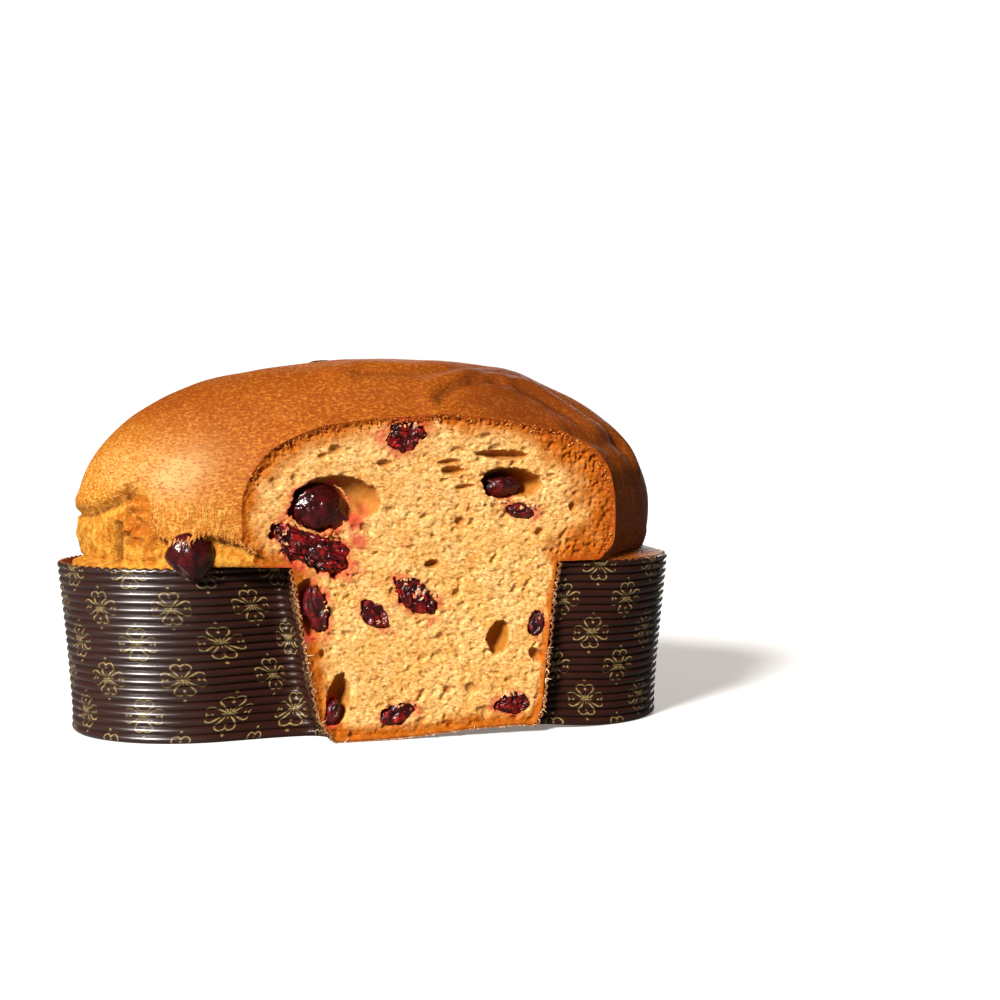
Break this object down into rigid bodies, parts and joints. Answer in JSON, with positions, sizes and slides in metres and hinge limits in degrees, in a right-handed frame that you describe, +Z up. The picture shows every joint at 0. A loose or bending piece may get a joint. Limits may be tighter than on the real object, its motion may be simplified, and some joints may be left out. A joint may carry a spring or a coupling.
{
  "type": "colomba cake",
  "caption": "Dove-shaped Easter cake in its pleated baking paper, cut open along one side, with dark cherries set in the crumb.",
  "frame": {"origin": "on the floor, in the middle between the ends of the head and the tail", "axes": "+X along the body towards the head, -Y towards the cut face, +Z up"},
  "size_m": [0.2331, 0.1562, 0.138],
  "materials": {
    "cake": "matte",
    "paper": "matte",
    "cherry": "gloss"
  },
  "bodies": {
    "root": {"cake": "cake", "paper_case": "paper", "cherry_large": "cherry", "cherry_jammy": "cherry", "cherry_under_crust": "cherry", "cherry_in_hole": "cherry", "cherry_sliver": "cherry", "cherry_crumbed": "cherry", "cherry_red": "cherry", "cherry_wall_left": "cherry", "cherry_floor_left": "cherry", "cherry_floor_middle": "cherry", "cherry_floor_right": "cherry", "cherry_wall_right": "cherry", "cherry_hanging": "cherry", "cherry_crown": "cherry"}
  },
  "joints": []
}
